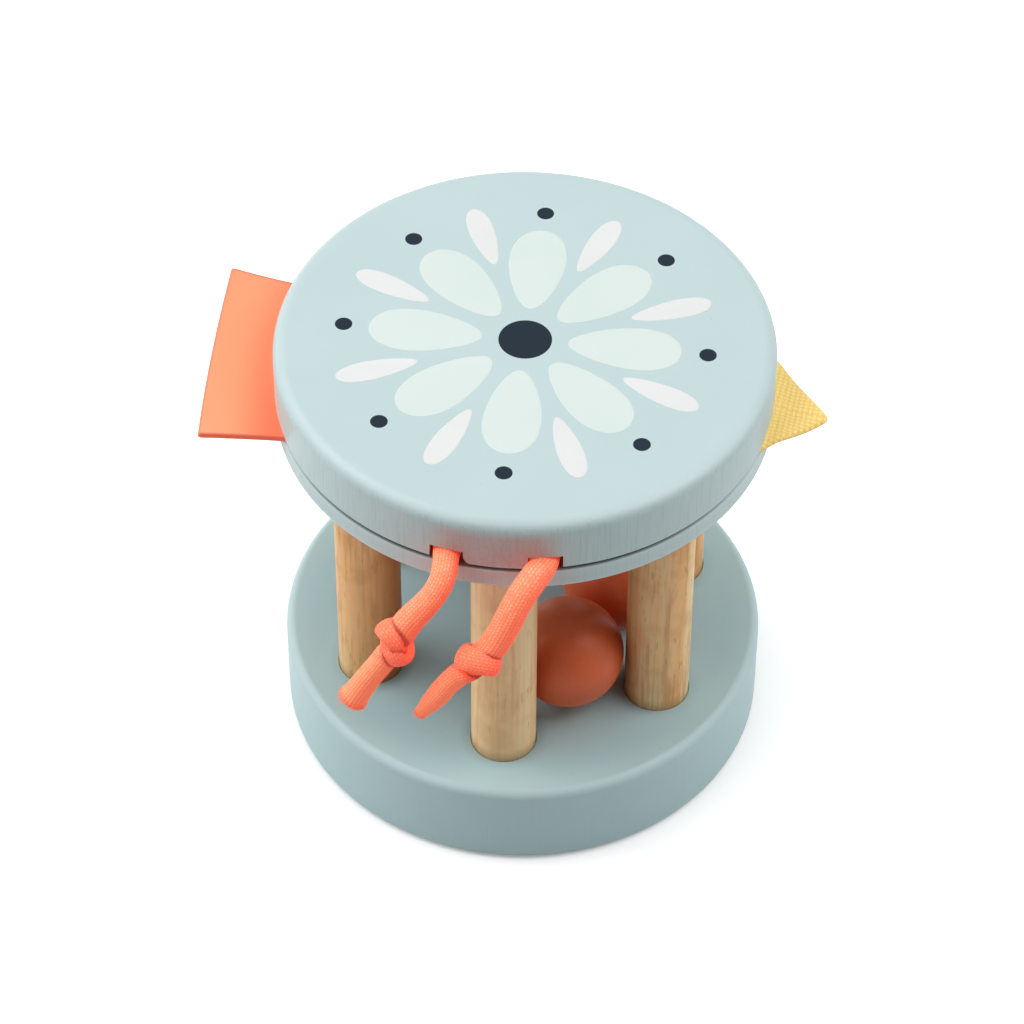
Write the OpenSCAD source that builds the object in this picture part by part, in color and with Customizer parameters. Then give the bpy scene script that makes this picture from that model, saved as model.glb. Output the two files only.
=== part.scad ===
// Cage rattle: a thick wooden base and a two-layer wooden top, held apart by round posts.
// Loose balls roll in the cage between them. A knotted cord looped round the front post,
// a ribbon loop and a folded tab of tape are held between the two layers of the top.
// Lengths are in millimetres. +Z is up, the front is towards -Y, and the origin is the
// centre of the base's underside.

/* [Discs] */
// Diameter of the base and of the top
disc_d = 75; // [68:1:90]
// Thickness of the base
base_t = 16; // [13:0.5:24]
// Thickness of the plate under the cap
plate_t = 3.6; // [2:0.2:6]
// Thickness of the cap
cap_t = 9.6; // [8:0.2:16]
// Rounding of the outer edges of the base
base_edge_r = 1.5; // [0.5:0.1:2.5]
// Rounding of the upper edge of the cap
cap_edge_r = 2; // [0.5:0.1:3]
// Rounding of the edges that meet at the seam
seam_r = 0.5; // [0.2:0.1:0.8]
// Gap that stays open along the rim between the plate and the cap
seam_gap = 0.3; // [0.1:0.05:0.5]
// Depth of that gap, measured in from the rim
seam_depth = 4; // [2:0.5:5]

/* [Posts] */
// Diameter of a post
post_d = 10; // [8:0.5:11]
// Wood between a post and the rim
post_inset = 6.5; // [4.5:0.5:8]
// Free height of the cage, from the base up to the plate
cage_h = 48; // [36:1:64]
// Depth of a post's socket in the base
base_socket = 9; // [5:0.5:11]
// Depth of a post's socket in the cap
cap_socket = 5.5; // [4:0.5:7]
// Glue gap round a post
post_fit = 0.05; // [0.02:0.01:0.1]
// Glue space above the upper end of a post
post_end_gap = 0.5; // [0.2:0.1:1]
// Eased edge of the sockets in the base
socket_edge = 0.15; // [0.1:0.05:0.4]
// Eased edge of the ends of the posts
post_edge = 0.4; // [0.2:0.1:0.8]

/* [Balls] */
// Diameter of a loose ball
ball_d = 17.3; // [16.5:0.1:19]
// Gap between a ball at rest and the posts and the ball beside it
ball_gap = 0.3; // [0.2:0.05:0.6]
// Gap under a ball at rest
ball_lift = 0.1; // [0.05:0.05:0.3]

/* [Cord] */
// Diameter of the cord where it hangs free
cord_d = 4.2; // [3.4:0.1:4.8]
// Width of the cord where the cap presses it flat
pressed_w = 4.2; // [3.6:0.1:5]
// Height of the cord where the cap presses it flat
pressed_h = 2.7; // [2:0.1:3.2]
// Gap between the cord and the post that it is looped round
loop_gap = 0.1; // [0.05:0.05:0.3]
// Gap between the cord and each side wall of its channel
channel_side_gap = 0.4; // [0.1:0.05:0.6]
// Gap between the cord and the roof of its channel
channel_roof_gap = 0.15; // [0.05:0.05:0.4]
// Rounding of the channel's outer lower corners
outer_corner_r = 0.5; // [0.3:0.1:1.4]
// Rounding of the lower corners of the wood between the two ends of the cord
inner_corner_r = 1.8; // [0.5:0.1:2.2]
// Distance inside the rim at which the hanging ends begin
cord_inset = 3.8; // [2:0.2:5]

/* [Ribbon loop] */
// Width of the ribbon
ribbon_w = 32; // [20:1:40]
// Reach of the loop beyond the rim
ribbon_out = 9.5; // [6:0.5:16]
// Thickness of one layer of ribbon
ribbon_t = 0.4; // [0.3:0.05:0.6]
// Height of the loop at its fold
ribbon_fold = 1.8; // [1.4:0.1:3]

/* [Folded tab] */
// Width of the tab inside the top
tab_w = 20; // [14:1:24]
// Reach of the tab's point beyond the rim
tab_out = 8; // [5:0.5:12]
// Turn of the tab about the middle of the top, in degrees
tab_turn = -5.5; // [-10:0.5:10]
// Shift of the tab along the rim, measured before that turn
tab_shift = 2.6; // [0:0.2:4]
// Thickness of one layer of tape
tape_t = 0.6; // [0.4:0.05:0.8]

/* [Hidden] */
$fn = 96;

// Posts are counted round from the front one, and pockets lie midway between posts
POSTS = 6;
post_pitch = 360 / POSTS;
front_angle = -90;
// How far a cut runs past the face that it opens
overrun = 1;
// Gap between a textile and the wood above and below it
soft_gap = 0.05;
// Wood between a textile's pocket and the posts beside it
pocket_wall = 2;
// Gap between a textile and the side walls of its pocket
pocket_side_gap = 0.3;
// Steps in a quarter round of an edge, and in the opening of the ribbon loop
ARC_STEPS = 10;
OPENING_STEPS = 8;
// Sides of a cord, and rings in its bend round the post
CORD_SIDES = 12;
BEND_STEPS = 12;

paint = [0.70, 0.79, 0.80];
beech = [0.79, 0.65, 0.47];
terracotta = [0.65, 0.31, 0.20];
coral = [1.00, 0.45, 0.33];
orange = [1.00, 0.55, 0.37];
yellow = [0.98, 0.84, 0.51];

disc_r = disc_d / 2;
post_r = post_d / 2;
plate_z = base_t + cage_h;
seam_z = plate_z + plate_t;
post_ring = disc_r - post_inset - post_r;
post_foot_z = base_t - base_socket;
post_length = seam_z + cap_socket - post_end_gap - post_foot_z;
socket_r = post_r + post_fit;

// The first ball rests in a pocket, as far out as the two posts beside it let it go.
// The second ball takes the next pocket if the first one leaves it room. If not, it rests at the mouth of
// that pocket, on the inner side of the gap between the first ball and the post beyond.
pocket_reach = post_ring * cos(post_pitch / 2);
pocket_half = post_ring * sin(post_pitch / 2);
ball_to_post = ball_d / 2 + post_r + ball_gap;
ball_ring = pocket_reach - sqrt(max(0, ball_to_post ^ 2 - pocket_half ^ 2));
ball_z = base_t + ball_lift + ball_d / 2;
ball_to_ball = ball_d + ball_gap;
first_place = on_ring(ball_ring, pocket_angle(1));
way_to_post = on_ring(post_ring, post_angle(3)) - first_place;
way_heading = direction(way_to_post);
way_length = norm(way_to_post);
second_along = (way_length ^ 2 + ball_to_ball ^ 2 - ball_to_post ^ 2) / (2 * way_length);
second_aside = sqrt(max(0, ball_to_ball ^ 2 - second_along ^ 2));
mouth_place = first_place + second_along * way_heading + second_aside * [-way_heading.y, way_heading.x];
next_pocket = on_ring(ball_ring, pocket_angle(2));
second_place = norm(next_pocket - first_place) >= ball_to_ball ? next_pocket : mouth_place;

// The cord lies flat on the plate, round the back of the front post and out to the rim
bend_r = post_r + loop_gap + pressed_w / 2;
channel_w = pressed_w + 2 * channel_side_gap;
channel_h = soft_gap + pressed_h + channel_roof_gap;
cord_z = seam_z + soft_gap + pressed_h / 2;
cord_joint_y = cord_inset - sqrt(disc_r ^ 2 - bend_r ^ 2);

// Hanging ends of the cord, from the joint with the bend, and its girth at each point
left_route = [
    [0, 0, 0], [0, -4, 0], [0.2, -6, 0.2], [0.1, -8, -0.6], [-1.1, -9.6, -2.4], [-2.8, -10.8, -4.2],
    [-4.6, -11.8, -6], [-5.6, -12.4, -7.6], [-6.5, -13, -9.2], [-7.6, -13.8, -12],
    [-10.2, -14.6, -16], [-12.4, -15.2, -20.2]
];
left_girth_shares = [1, 1, 0.9, 0.88, 0.88, 0.88, 1, 1.5, 1.5, 0.95, 0.88, 0.95];
right_route = [
    [0, 0, 0], [-0.2, -4, 0], [-1, -6, 0.3], [-1.9, -7.8, -0.1], [-3, -9.2, -1.4], [-4.2, -10.8, -3.8],
    [-5.6, -12.2, -7], [-7.1, -13, -9.6], [-8.8, -13.6, -11.6], [-10.7, -14, -13.2],
    [-12.7, -14.6, -15.2], [-14.3, -15, -18], [-16.8, -15.4, -21.8]
];
right_girth_shares = [1, 1, 0.95, 1, 1, 1, 1, 1.4, 1.6, 1.1, 0.85, 0.8, 0.45];
// Points of a route that lie inside the channel and keep its flat section
PRESSED_POINTS = 2;

ribbon_half = ribbon_fold / 2;
ribbon_z = seam_z + soft_gap + ribbon_t;
ribbon_tip = disc_r + ribbon_out;
textile_in = pocket_reach + post_r + pocket_wall;

tab_t = 2 * tape_t;
tab_tip = disc_r + tab_out;
tab_shoulder = tab_tip - tab_w / 2;

function on_ring(r, angle) = [r * cos(angle), r * sin(angle)];
function post_angle(k) = front_angle + (k - 1) * post_pitch;
function pocket_angle(k) = post_angle(k) + post_pitch / 2;

// Points of a quarter round about c, from the angle given and turning left
function quarter(c, r, start) = [for (i = [0 : ARC_STEPS]) c + on_ring(r, start + 90 * i / ARC_STEPS)];

// Eases from 0 to 1 with flat ends
function ease_in_out(u) = u * u * (3 - 2 * u);

// A disc with its lower and its upper outer edge rounded. A raise lifts the underside along the rim.
module rounded_disc(r, t, low_r, high_r, raise = 0) {
    rotate_extrude()
        polygon(concat(
            [[0, 0]],
            raise > 0 ? [[r - seam_depth, 0], [r - seam_depth, raise]] : [],
            quarter([r - low_r, raise + low_r], low_r, -90),
            quarter([r - high_r, t - high_r], high_r, 0),
            [[0, t]]
        ));
}

module at_posts() {
    for (k = [1 : POSTS]) translate(on_ring(post_ring, post_angle(k))) children();
}

module base_disc() {
    color(paint)
        difference() {
            rounded_disc(disc_r, base_t, base_edge_r, base_edge_r);
            at_posts() {
                translate([0, 0, post_foot_z]) cylinder(r = socket_r, h = base_socket + overrun);
                translate([0, 0, base_t - socket_edge])
                    cylinder(r1 = socket_r, r2 = socket_r + socket_edge + overrun, h = socket_edge + overrun);
            }
        }
}

module top_plate() {
    color(paint)
        translate([0, 0, plate_z])
            difference() {
                rounded_disc(disc_r, plate_t, seam_r, seam_r);
                at_posts() translate([0, 0, -overrun]) cylinder(r = socket_r, h = plate_t + 2 * overrun);
            }
}

// Outline of the cord's channel: a U round the front post, open at the rim
function channel_outline(half) = concat(
    [[bend_r + half, -disc_r - overrun]],
    [for (i = [0 : BEND_STEPS]) [0, -post_ring] + on_ring(bend_r + half, 180 * i / BEND_STEPS)],
    [[-bend_r - half, -disc_r - overrun], [half - bend_r, -disc_r - overrun]],
    [for (i = [0 : BEND_STEPS]) [0, -post_ring] + on_ring(bend_r - half, 180 - 180 * i / BEND_STEPS)],
    [[bend_r - half, -disc_r - overrun]]
);

// Cuts a lower corner of a channel round, drawn across it on the side that lies towards +X
module channel_corner(r) {
    translate([channel_w / 2, seam_gap])
        polygon(concat(
            [[-overrun, -overrun], [r, -overrun]],
            [for (i = [0 : ARC_STEPS]) r * ([1, 1] + on_ring(1, 270 - 90 * i / ARC_STEPS))],
            [[-overrun, r]]
        ));
}

// Outline of the folded tab seen from above, grown by a gap all round
function tab_outline(gap) = [
    [textile_in - gap, tab_shift - tab_w / 2 - gap],
    [tab_shoulder, tab_shift - tab_w / 2 - gap],
    [tab_tip + gap * sqrt(2), tab_shift],
    [tab_shoulder, tab_shift + tab_w / 2 + gap],
    [textile_in - gap, tab_shift + tab_w / 2 + gap]
];

module top_cap() {
    color(paint)
        translate([0, 0, seam_z])
            difference() {
                rounded_disc(disc_r, cap_t, seam_r, cap_edge_r, seam_gap);
                at_posts() translate([0, 0, -overrun]) cylinder(r = socket_r, h = cap_socket + overrun);
                translate([0, 0, -overrun])
                    linear_extrude(channel_h + overrun) polygon(channel_outline(channel_w / 2));
                for (side = [0, 1])
                    mirror([side, 0, 0])
                        translate([bend_r, -post_ring, 0])
                            rotate([90, 0, 0])
                                linear_extrude(disc_r - post_ring + overrun) {
                                    channel_corner(outer_corner_r);
                                    mirror([1, 0]) channel_corner(inner_corner_r);
                                }
                translate([-disc_r - overrun, -ribbon_w / 2 - pocket_side_gap, -overrun])
                    cube([
                        disc_r + overrun - textile_in + pocket_side_gap,
                        ribbon_w + 2 * pocket_side_gap,
                        2 * ribbon_t + 2 * soft_gap + overrun
                    ]);
                translate([0, 0, -overrun])
                    rotate(tab_turn)
                        linear_extrude(tab_t + 2 * soft_gap + overrun) polygon(tab_outline(pocket_side_gap));
            }
}

module post(k) {
    color(beech)
        translate(concat(on_ring(post_ring, post_angle(k)), post_foot_z))
            rotate_extrude()
                polygon([
                    [0, 0], [post_r - post_edge, 0], [post_r, post_edge],
                    [post_r, post_length - post_edge], [post_r - post_edge, post_length], [0, post_length]
                ]);
}

module ball(place) {
    color(terracotta)
        translate(concat(place, ball_z))
            sphere(d = ball_d);
}

// Sweeps a ring of points along a route. Each point of the route has a half width and a half height.
function direction(v) = v / norm(v);
function heading(route, i) = direction(route[min(i + 1, len(route) - 1)] - route[max(i - 1, 0)]);
function across(t) = direction(cross(t, [0, 0, 1]));
function ring(p, t, half) = [
    for (j = [0 : CORD_SIDES - 1])
        p + half.x * cos(360 * j / CORD_SIDES) * across(t)
          + half.y * sin(360 * j / CORD_SIDES) * cross(across(t), t)
];

module tube(route, halves) {
    last = len(route) - 1;
    points = [for (i = [0 : last]) each ring(route[i], heading(route, i), halves[i])];
    walls = [
        for (i = [0 : last - 1], j = [0 : CORD_SIDES - 1])
            let (a = i * CORD_SIDES + j, b = i * CORD_SIDES + (j + 1) % CORD_SIDES)
                each [[a, a + CORD_SIDES, b], [b, a + CORD_SIDES, b + CORD_SIDES]]
    ];
    start = [for (j = [0 : CORD_SIDES - 1]) j];
    end = [for (j = [CORD_SIDES - 1 : -1 : 0]) last * CORD_SIDES + j];
    polyhedron(points, concat([start], walls, [end]));
}

module cord_bend() {
    route = concat(
        [[bend_r, cord_joint_y, cord_z]],
        [for (i = [0 : BEND_STEPS])
            concat([0, -post_ring] + on_ring(bend_r, 180 * i / BEND_STEPS), cord_z)],
        [[-bend_r, cord_joint_y, cord_z]]
    );
    color(coral) tube(route, [for (p = route) [pressed_w, pressed_h] / 2]);
}

module hanging_cord(side, route, girth_shares) {
    joint = [side * bend_r, cord_joint_y, cord_z];
    color(coral)
        tube(
            [for (p = route) joint + p],
            [for (i = [0 : len(route) - 1])
                (i < PRESSED_POINTS ? [pressed_w, pressed_h] : [cord_d, cord_d]) * girth_shares[i] / 2]
        );
}

module cord_left() {
    hanging_cord(-1, left_route, left_girth_shares);
}

module cord_right() {
    hanging_cord(1, right_route, right_girth_shares);
}

// Half height of the ribbon loop, which opens from two layers at the rim to its round fold
function loop_half(u) = ribbon_t + (ribbon_half - ribbon_t) * ease_in_out(u);

// Outline of the loop from the side, from the rim out to the fold and back, drawn in by a layer's thickness
function loop_outline(inner) = concat(
    [for (i = [0 : OPENING_STEPS])
        [disc_r + (ribbon_out - ribbon_half) * i / OPENING_STEPS, inner - loop_half(i / OPENING_STEPS)]],
    [for (i = [1 : 2 * OPENING_STEPS - 1])
        [ribbon_tip - ribbon_half, 0] + on_ring(ribbon_half - inner, 180 * i / (2 * OPENING_STEPS) - 90)],
    [for (i = [OPENING_STEPS : -1 : inner > 0 ? 1 : 0])
        [disc_r + (ribbon_out - ribbon_half) * i / OPENING_STEPS, loop_half(i / OPENING_STEPS) - inner]]
);

module ribbon_tag() {
    color(orange)
        translate([0, 0, ribbon_z])
            rotate([90, 0, 180])
                linear_extrude(ribbon_w, center = true)
                    difference() {
                        polygon(concat(
                            [[textile_in, ribbon_t], [textile_in, -ribbon_t]],
                            loop_outline(0)
                        ));
                        polygon(loop_outline(ribbon_t));
                    }
}

module folded_tab() {
    color(yellow)
        translate([0, 0, seam_z + soft_gap])
            rotate(tab_turn)
                linear_extrude(tab_t) polygon(tab_outline(0));
}

base_disc();
top_plate();
top_cap();
post(1);  // post_1
post(2);  // post_2
post(3);  // post_3
post(4);  // post_4
post(5);  // post_5
post(6);  // post_6
ball(first_place);  // ball_1
ball(second_place);  // ball_2
cord_bend();
cord_left();
cord_right();
ribbon_tag();
folded_tab();
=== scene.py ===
# %% [markdown]
# A wooden cage rattle for a small hand: two painted discs, six beech posts between them, loose balls in
# the cage, and three textile trims glued into the seam of the upper disc.
# The solids come from the CAD model and stay where they are. This lesson gives them their finishes, and
# makes again in mesh code what a solid can't show: braided cords with real knots, a folded ribbon and a
# folded tape.

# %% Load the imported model
import math

import bpy
import numpy as np
from mathutils import Matrix


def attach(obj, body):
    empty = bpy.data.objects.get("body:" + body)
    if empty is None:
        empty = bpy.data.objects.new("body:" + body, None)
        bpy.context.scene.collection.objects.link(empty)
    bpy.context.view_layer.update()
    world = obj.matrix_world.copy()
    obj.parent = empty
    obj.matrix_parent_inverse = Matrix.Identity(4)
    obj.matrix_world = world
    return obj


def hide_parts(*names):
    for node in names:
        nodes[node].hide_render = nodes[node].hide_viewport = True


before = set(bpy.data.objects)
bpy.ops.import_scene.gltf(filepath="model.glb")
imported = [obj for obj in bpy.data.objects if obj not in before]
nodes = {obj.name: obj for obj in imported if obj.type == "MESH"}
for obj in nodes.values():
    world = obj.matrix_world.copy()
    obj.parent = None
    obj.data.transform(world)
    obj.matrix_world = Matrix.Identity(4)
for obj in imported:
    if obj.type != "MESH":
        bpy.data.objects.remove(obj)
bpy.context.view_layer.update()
scene = bpy.context.scene
mm = 0.001

# %% [markdown]
# The camera comes first, because the knots are turned to show the side that the photograph shows.
# It stands well away with a long lens, as for a product picture, so the discs keep nearly the same width.
# A matrix built from three directions places it exactly, with no aiming constraint.

# %% Camera
def unit(vectors):
    """The same directions with length 1."""
    return vectors / np.linalg.norm(vectors, axis=-1, keepdims=True)


def stand(name, data, axes, place):
    """A new object at a place, turned so that its own x, y and z point along the three axes."""
    turned = np.eye(4)
    turned[:3, :3] = np.stack(axes, axis=1)
    turned[:3, 3] = place
    made = bpy.data.objects.new(name, data)
    scene.collection.objects.link(made)
    made.matrix_world = Matrix(turned.tolist())
    return made


aim = np.array([0, 0, 38.6]) * mm
camera_distance = 655.8 * mm
azimuth, elevation, roll = np.radians([6.2, 47.69, 0.5])
picture_width = 1024
to_camera = np.array([
    math.sin(azimuth) * math.cos(elevation),
    -math.cos(azimuth) * math.cos(elevation),
    math.sin(elevation),
])
level_right = np.array([math.cos(azimuth), math.sin(azimuth), 0])
level_up = np.cross(to_camera, level_right)
camera_right = level_right * math.cos(roll) + level_up * math.sin(roll)
camera_up = level_up * math.cos(roll) - level_right * math.sin(roll)
camera_place = aim + to_camera * camera_distance

lens = bpy.data.cameras.new("product_lens")
lens.sensor_width = 36
lens.lens = 148.71
lens.shift_x = -11.69 / picture_width
lens.shift_y = 2.61 / picture_width
lens.clip_start = 0.01
lens.clip_end = 20
scene.camera = stand("camera", lens, (camera_right, camera_up, to_camera), camera_place)
print("camera at", np.round(camera_place, 3))

# %% [markdown]
# One soft braided cord goes round the front post inside the upper disc and leaves through two slots.
# Each end has an overhand knot. A knot drawn by hand looks loose or cuts through itself, so the knot is
# pulled tight by numbers: an open loop of points is shortened again and again, and points that come nearer
# to each other than the pressed strand is thick are pushed apart.

# %% Lines of points
def distance_along(line):
    """How far each point is along a line: the running sum of the steps between neighbours."""
    return np.concatenate([[0], np.cumsum(np.linalg.norm(np.diff(line, axis=0), axis=1))])


def respaced(line, step):
    """The same line with points an equal step apart, read off by linear interpolation."""
    at = distance_along(line)
    new = np.linspace(0, at[-1], int(round(at[-1] / step)) + 1)
    return np.stack([np.interp(new, at, line[:, axis]) for axis in range(3)], axis=-1)


def eased(line, spread):
    """The bell-weighted mean of each point's neighbours. Past an end, the line is turned about that end."""
    reach = int(3 * spread)
    bell = np.exp(-0.5 * (np.arange(-reach, reach + 1) / spread) ** 2)
    bell /= bell.sum()
    before = 2 * line[0] - line[reach:0:-1]
    after = 2 * line[-1] - line[-2:-reach - 2:-1]
    longer = np.concatenate([before, line, after])
    return np.stack([np.convolve(longer[:, axis], bell, "valid") for axis in range(3)], axis=-1)


def step_up(value, low, high):
    """0 below low, 1 above high, and a smooth S between them: 3t^2 - 2t^3."""
    t = np.clip((value - low) / (high - low), 0, 1)
    return t * t * (3 - 2 * t)


# %% A tight overhand knot
def overhand_knot(thickness, step, reach, rounds=2400):
    """An open trefoil, x = sin t + 2 sin 2t, y = cos t - 2 cos 2t, z = -1.2 sin 3t, cut at one lobe and
    drawn out to both sides. Each round moves every point towards the middle of its neighbours, then parts
    points that are nearer than the strand's thickness, and every fourth round spaces the points evenly."""
    cut = 0.4
    t = np.linspace(math.pi + cut, 3 * math.pi - cut, 200)
    lobes = np.stack([
        np.sin(t) + 2 * np.sin(2 * t),
        np.cos(t) - 2 * np.cos(2 * t),
        -1.2 * np.sin(3 * t),
    ], axis=-1) * 0.9 * thickness
    strand = respaced(np.concatenate([[[reach, 0, 0]], lobes, [[-reach, 0, 0]]]), step)
    apart = int(math.ceil(1.55 * thickness / step))
    for turn in range(rounds):
        strand[1:-1] += 0.25 * ((strand[:-2] + strand[2:]) / 2 - strand[1:-1])
        for again in range(2):
            one, other = np.triu_indices(len(strand), apart)
            gap = strand[one] - strand[other]
            far = np.linalg.norm(gap, axis=1)
            near = far < thickness
            one, other, gap, far = one[near], other[near], gap[near], far[near]
            push = (0.8 * (thickness - far) / far)[:, None] * gap
            moved = np.zeros_like(strand)
            times_pushed = np.zeros(len(strand))
            for end, way in ((one, push), (other, -push)):
                np.add.at(moved, end, way)
                np.add.at(times_pushed, end, 1)
            moved /= np.maximum(times_pushed, 1)[:, None]
            moved[[0, -1]] = 0
            strand += moved
        if turn % 4 == 3:
            strand = respaced(strand, step)
    return strand


knot_thickness = 1.85 * mm
knot_reach = 2.8 * mm
knot_line = overhand_knot(knot_thickness, 0.4 * mm, 10 * mm)
knot_core = knot_line[np.abs(knot_line[:, 0]) < knot_reach]
knot_core = knot_core - [0, knot_core[:, 1].mean(), knot_core[:, 2].mean()]
knot_box = np.round(np.ptp(knot_core, axis=0) / mm, 1)
print("knot of", round(distance_along(knot_core)[-1] / mm, 1), "mm of cord in", knot_box)

# %% [markdown]
# The routes repeat the CAD model's points: straight out of the slot, over the edge of the lower half, and
# down under the cord's own weight. The knot replaces a short stretch of the route, turned so that its axis
# follows the cord and its wrapped side faces as in the photograph.

# %% Cord routes
bend_radius = 7.2 * mm
cord_height = 69.0 * mm
cord_joint_y = -33.0 * mm
left_start = np.array([-bend_radius, cord_joint_y, cord_height])
right_start = np.array([bend_radius, cord_joint_y, cord_height])
left_route = left_start + np.array([
    (0, 0, 0), (0, -4, 0), (0.2, -6, 0.2), (0.1, -8, -0.6), (-1.1, -9.6, -2.4), (-2.8, -10.8, -4.2),
    (-4.6, -11.8, -6), (-5.6, -12.4, -7.6), (-6.5, -13, -9.2), (-7.6, -13.8, -12), (-10.2, -14.6, -16),
    (-12.4, -15.2, -20.2),
]) * mm
right_route = right_start + np.array([
    (0, 0, 0), (-0.2, -4, 0), (-1, -6, 0.3), (-1.9, -7.8, -0.1), (-3, -9.2, -1.4), (-4.2, -10.8, -3.8),
    (-5.6, -12.2, -7), (-7.1, -13, -9.6), (-8.8, -13.6, -11.6), (-10.7, -14, -13.2), (-12.7, -14.6, -15.2),
    (-14.3, -15, -18), (-16.8, -15.4, -21.8),
]) * mm
knot_point = 8
left_turn, right_turn = np.radians([26, 90])
left_pull, right_pull = (0.76, 1.1), (1.5, 0.62)


def knotted(route, turn, pull):
    """The route with the knot in place of its middle stretch, where the knot starts and ends along it, and
    the knot's middle. The knot's x runs back along the cord, its y turns from the direction to the camera.
    A hand pulls a knot unevenly, so its shape is then scaled along the picture's two directions, and its
    two ends are drawn back onto the route."""
    smooth = eased(respaced(route, 0.25 * mm), 4)
    at = distance_along(smooth)
    nearest = np.argmin(np.linalg.norm(smooth - route[knot_point], axis=1))
    before = smooth[at < at[nearest] - knot_reach]
    after = smooth[at > at[nearest] + knot_reach]
    back = unit(before[-1] - after[0])
    side = unit(to_camera - back * (to_camera @ back))
    y_axis = side * math.cos(turn) + np.cross(back, side) * math.sin(turn)
    middle = (before[-1] + after[0]) / 2
    core = knot_core @ np.stack([back, y_axis, np.cross(back, y_axis)])
    for direction, share in zip((camera_right, camera_up), pull):
        core = core + np.outer(core @ direction, direction) * (share - 1)
    core = core + middle
    along = np.linspace(0, 1, len(core))[:, None]
    core = core + (before[-1] - core[0]) * (1 - step_up(along, 0, 0.16))
    core = core + (after[0] - core[-1]) * step_up(along, 0.84, 1)
    line = eased(respaced(np.concatenate([before, core, after]), 0.113 * mm), 5)
    start = distance_along(before)[-1]
    end = distance_along(line)[-1] - distance_along(after)[-1]
    return line, (start, end, middle)


left_line, left_knot = knotted(left_route, left_turn, left_pull)
right_line, right_knot = knotted(right_route, right_turn, right_pull)
for name, line in (("left", left_line), ("right", right_line)):
    print(name, "cord", round(distance_along(line)[-1] / mm, 1), "mm")

# %% [markdown]
# A braided sleeve shows columns of slanting stitches that lean left and right by turns. At this size the
# stitches can be seen at the cord's edge, so they are part of the mesh: the tube's radius rises and falls
# with the place round the cord and along it. The same height is kept as an attribute, so the finish can
# paint a highlight on the crests and shade in the valleys. A second attribute tells how near another
# stretch of the same cord lies, so the finish can paint the creases of a knot a dark red as shade. A third
# is 1 in the knot and -1 in the loose end, where the finish paints shade on the knot and light on the end.

# %% Grid meshes
def cells(grid):
    """The four corners of each cell of a grid, in turn."""
    return np.stack([grid[:-1, :-1], grid[:-1, 1:], grid[1:, 1:], grid[1:, :-1]], axis=2)


def grid_faces(rows, columns, round_columns=False, closed_ends=False):
    """Corner numbers of the quads between neighbours in a grid, and of the triangles that close its first
    and last row onto two more points. round_columns joins the last column to the first."""
    index = np.arange(rows * columns).reshape(rows, columns)
    if round_columns:
        index = np.concatenate([index, index[:, :1]], axis=1)
    faces = [cells(index).reshape(-1, 4)]
    if closed_ends:
        for number, row in enumerate((index[0, ::-1], index[-1])):
            tip = np.full(len(row) - 1, rows * columns + number)
            faces.append(np.stack([row[:-1], row[1:], tip], axis=1))
    return faces


def new_piece(name, vertices, faces, smooth=True):
    """A mesh object from points and from arrays of faces, linked to the scene."""
    corners = [face for part in faces for face in part.tolist()]
    mesh = bpy.data.meshes.new(name)
    mesh.from_pydata(vertices.reshape(-1, 3).tolist(), [], corners)
    mesh.polygons.foreach_set("use_smooth", np.full(len(corners), smooth))
    mesh.update()
    piece = bpy.data.objects.new(name, mesh)
    scene.collection.objects.link(piece)
    return piece


def grid_mesh(name, points, uv=None, values=None, **closing):
    """A piece from a grid of points, with a UV map on its corners and named values on its points."""
    faces = grid_faces(*points.shape[:2], **closing)
    vertices = points.reshape(-1, 3)
    if closing.get("closed_ends"):
        vertices = np.concatenate([vertices, points[[0, -1]].mean(axis=1)])
    piece = new_piece(name, vertices, faces)
    if uv is not None:
        corners = [cells(uv).reshape(-1, 2)]
        if closing.get("closed_ends"):
            for row in (uv[0, ::-1], uv[-1]):
                corners.append(np.stack([row[:-1], row[1:], row[1:]], axis=1).reshape(-1, 2))
        layer = piece.data.uv_layers.new(name="cloth")
        layer.data.foreach_set("uv", np.concatenate(corners).ravel())
    for label, value in (values or {}).items():
        whole = np.zeros(len(vertices), np.float32)
        whole[:value.size] = value.ravel()
        piece.data.attributes.new(label, "FLOAT", "POINT").data.foreach_set("value", whole)
    return piece


# %% Braided tube
stitch_columns = 24
stitch_length = 0.5 * mm
stitch_height = 0.08 * mm
stitch_lean = 0.36
cord_girth_mm = 13.2
pressed_share = 0.86


def braid_height(along, around):
    """Height of the braid from 0 to 1. Round the cord, columns rise as a cosine; along it, stitches follow
    each other as a cosine whose phase leans with the place in the column, left and right by turns."""
    column = around / (2 * math.pi) * stitch_columns
    number = np.floor(column)
    across = 2 * (column - number) - 1
    lean = np.where(number % 2 == 0, stitch_lean, -stitch_lean)
    phase = along / stitch_length + lean * across + 0.5 * (number // 2 % 2)
    ridge = np.cos(across * math.pi / 2) ** 0.6
    stitch = 0.5 + 0.5 * np.cos(2 * math.pi * phase)
    return ridge * (0.25 + 0.75 * stitch ** 0.7)


def directions(line):
    """The direction of a line at each of its points."""
    return unit(np.gradient(line, axis=0))


def carried_sides(forward, first_side):
    """One side direction per point, carried along without twist: each is the last one with its part along
    the new direction taken out."""
    sides = np.zeros_like(forward)
    side = np.asarray(first_side, float)
    for station, ahead in enumerate(forward):
        side = unit(side - ahead * (side @ ahead))
        sides[station] = side
    return sides


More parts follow.
